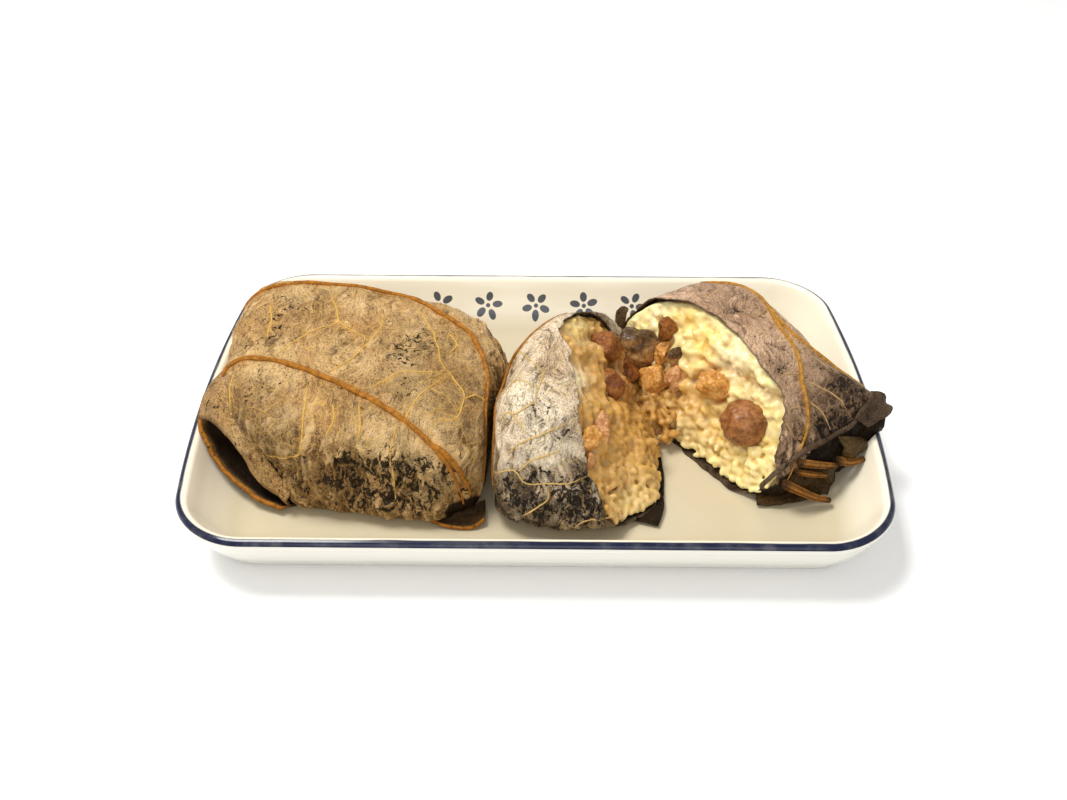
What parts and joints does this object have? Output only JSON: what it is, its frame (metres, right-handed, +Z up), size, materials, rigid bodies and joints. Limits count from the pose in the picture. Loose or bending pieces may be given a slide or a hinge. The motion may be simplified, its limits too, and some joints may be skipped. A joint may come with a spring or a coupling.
{
  "type": "lotus leaf sticky rice on plate",
  "caption": "Lotus-leaf parcels of sticky rice on an oblong glazed plate, one whole and one torn open to show rice, pork, mushroom and a meatball",
  "frame": {"origin": "middle of the plate's underside, on the plane that the foot ring stands on", "axes": "+X along the plate's length, from the whole parcel to the torn one; +Y across the plate to the back; +Z up"},
  "size_m": [0.22, 0.138, 0.0519],
  "materials": {
    "plate_glaze": "glossy cream glaze with a navy line on the rim",
    "leaf": "satin, steamed dry leaf, golden brown to grey brown with veins",
    "rice": "glossy, sticky, translucent grains",
    "pork": "glossy braised meat",
    "mushroom": "glossy dark"
  },
  "bodies": {
    "root": {"plate": "plate_glaze", "leaf_parcel_whole": "leaf", "leaf_half_middle": "leaf", "leaf_half_right": "leaf", "rice_half_middle": "rice", "rice_half_right": "rice", "pork_cube": "pork", "pork_orange": "pork", "pork_shred": "pork", "pork_valley": "pork", "mushroom_cap": "mushroom", "pork_top": "pork", "pork_pale": "pork", "pork_low": "pork", "pork_glazed": "pork", "meatball": "pork"}
  },
  "joints": []
}
